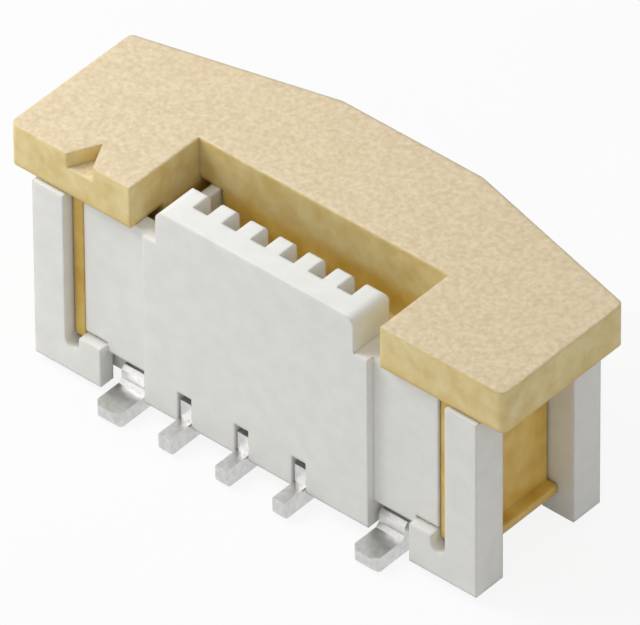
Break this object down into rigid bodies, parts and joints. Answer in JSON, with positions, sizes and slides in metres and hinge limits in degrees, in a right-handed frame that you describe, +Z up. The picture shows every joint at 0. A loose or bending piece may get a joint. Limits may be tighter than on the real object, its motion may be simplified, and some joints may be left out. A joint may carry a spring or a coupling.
{
  "type": "fpc connector",
  "caption": "Upright surface-mount connector for a flexible printed circuit, with a white housing and an amber pull-up slider.",
  "frame": {"origin": "on the circuit board, under the middle of the housing, level with the soles of the soldered tails", "axes": "+X along the row of contacts, to the right when the slot in the slider faces the viewer; +Y from the slider's recessed front to its bulging rear; +Z up from the board, the way the slider pulls out"},
  "size_m": [0.0086, 0.0037, 0.0038],
  "materials": {
    "white_resin": "moulded, satin",
    "amber_resin": "moulded, unfilled, slightly translucent",
    "metal_finish": "matt tin over copper alloy"
  },
  "bodies": {
    "base": {"housing": "white_resin", "contact_1": "metal_finish", "contact_2": "metal_finish", "contact_3": "metal_finish", "contact_4": "metal_finish", "contact_5": "metal_finish", "contact_6": "metal_finish", "solder_tab_left": "metal_finish", "solder_tab_right": "metal_finish"},
    "slider": {"actuator": "amber_resin"}
  },
  "joints": [
    {"name": "slider_lift", "type": "slide", "parent": "base", "child": "slider", "axis": [0, 0, 1], "range_m": [0, 0.00088]}
  ]
}
